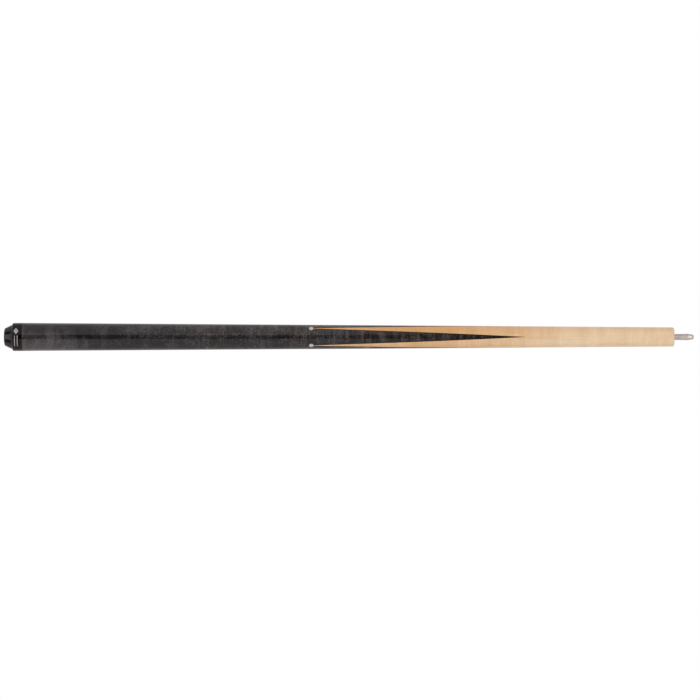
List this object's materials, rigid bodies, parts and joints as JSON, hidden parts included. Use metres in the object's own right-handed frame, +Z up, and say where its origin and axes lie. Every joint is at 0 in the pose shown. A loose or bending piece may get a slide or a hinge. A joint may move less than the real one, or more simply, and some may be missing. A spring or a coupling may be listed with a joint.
{
  "type": "pool cue",
  "caption": "Two-piece billiard cue: tapered spliced butt with rubber bumper and bare joint pin, and a screw-on maple shaft with ferrule and leather tip.",
  "frame": {"origin": "on the cue's axis in the plane of the bumper's rear end, at the mouth of the recess for the screw's key", "axes": "+X along the cue from bumper to tip, +Z up as the cue lies on a table, one dark point of the splice facing +Z"},
  "size_m": [1.5162, 0.0314, 0.0312],
  "materials": {
    "bumper_rubber": "satin",
    "steel": "satin",
    "brass": "satin",
    "cap_black": "gloss",
    "stained_maple": "gloss",
    "natural_maple": "gloss",
    "shaft_maple": "satin",
    "black_veneer": "gloss",
    "pearl": "gloss",
    "pin_steel": "polished",
    "ferrule_white": "gloss",
    "fibre": "matte",
    "leather": "matte"
  },
  "bodies": {
    "butt": {"handle": "stained_maple", "forearm": "natural_maple", "veneer_top": "black_veneer", "veneer_front": "black_veneer", "veneer_under": "black_veneer", "veneer_rear": "black_veneer", "pearl_dot_1": "pearl", "pearl_dot_2": "pearl", "pearl_dot_3": "pearl", "pearl_dot_4": "pearl", "joint_pin": "pin_steel", "butt_cap": "cap_black", "bumper_bush": "brass", "weight_bolt": "steel"},
    "bumper": {"rubber_bumper": "bumper_rubber", "bumper_washer": "steel"},
    "bumper_screw": {"bumper_screw": "steel"},
    "shaft_insert": {"shaft_insert": "brass"},
    "shaft": {"shaft": "shaft_maple", "ferrule": "ferrule_white", "tip_pad": "fibre", "cue_tip": "leather"}
  },
  "joints": [
    {"name": "bumper_slide", "type": "slide", "parent": "butt", "child": "bumper", "axis": [-1, 0, 0], "range_m": [0, 0.02]},
    {"name": "bumper_screw_turn", "type": "hinge", "parent": "bumper", "child": "bumper_screw", "pos_m": [0.006, 0, 0], "axis": [-1, 0, 0], "range_deg": [0, 9001]},
    {"name": "shaft_slide", "type": "slide", "parent": "butt", "child": "shaft_insert", "axis": [-1, 0, 0], "range_m": [0, 0.0338]},
    {"name": "shaft_turn", "type": "hinge", "parent": "shaft_insert", "child": "shaft", "pos_m": [0.7796, 0, 0], "axis": [-1, 0, 0], "range_deg": [0, 9582]}
  ],
  "couplings": [
    {"joint": "bumper_screw_turn", "follows": "bumper_slide", "rad_per_m": 7854},
    {"joint": "shaft_turn", "follows": "shaft_slide", "rad_per_m": 4947.4}
  ]
}
